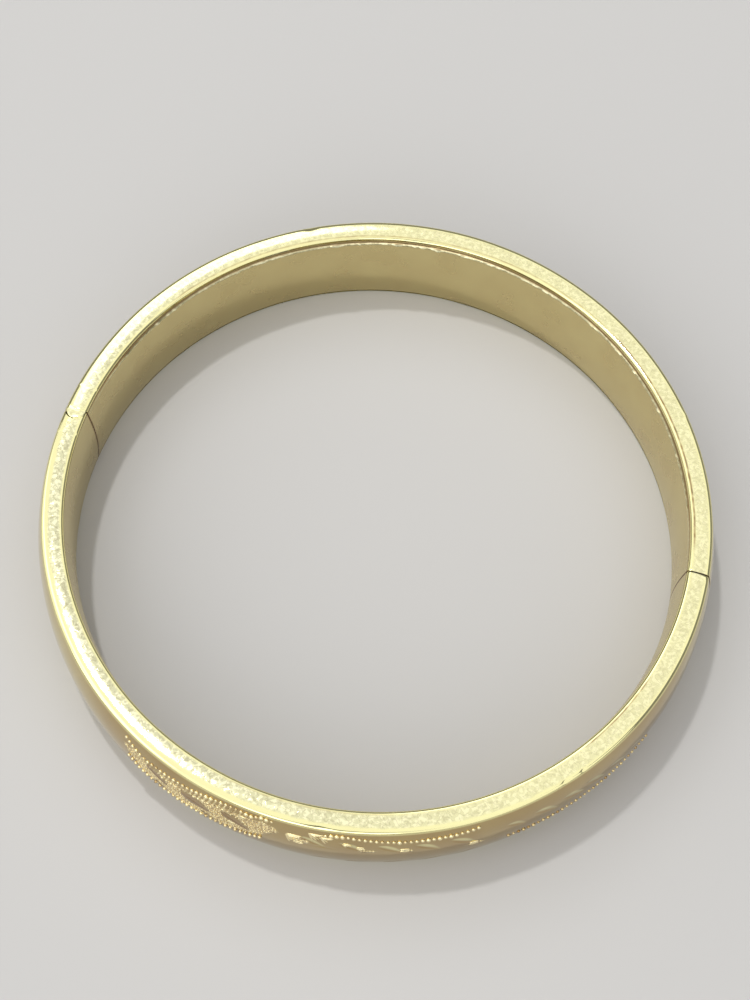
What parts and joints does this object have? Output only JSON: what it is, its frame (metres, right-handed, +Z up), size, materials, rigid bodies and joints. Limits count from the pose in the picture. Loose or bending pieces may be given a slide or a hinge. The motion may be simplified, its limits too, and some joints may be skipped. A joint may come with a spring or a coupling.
{
  "type": "bracelet",
  "caption": "Hinged hollow bangle bracelet in gold-filled metal, with an engraved front half, milgrain borders and a hidden tongue clasp.",
  "frame": {"origin": "centre of the ring, on the surface that the closed bangle lies on", "axes": "+Z up along the ring's axis, -Y to the engraved front, -X to the hinge, +X to the clasp"},
  "size_m": [0.0656, 0.0656, 0.0104],
  "materials": {
    "plain_gold": "polished, lightly worn",
    "engraved_gold": "polished and engraved, rims worn",
    "lining_gold": "satin",
    "pin_gold": "polished",
    "tongue_gold": "satin"
  },
  "bodies": {
    "back_half": {"back_shell": "plain_gold", "back_lining": "lining_gold", "hinge_pin": "pin_gold"},
    "front_half": {"front_shell": "engraved_gold", "front_lining": "lining_gold", "clasp_tongue": "tongue_gold"}
  },
  "joints": [
    {"name": "hinge", "type": "hinge", "parent": "back_half", "child": "front_half", "pos_m": [-0.03096, 0.0015, 0.0052], "axis": [0, 0, -1], "range_deg": [0, 45]}
  ]
}
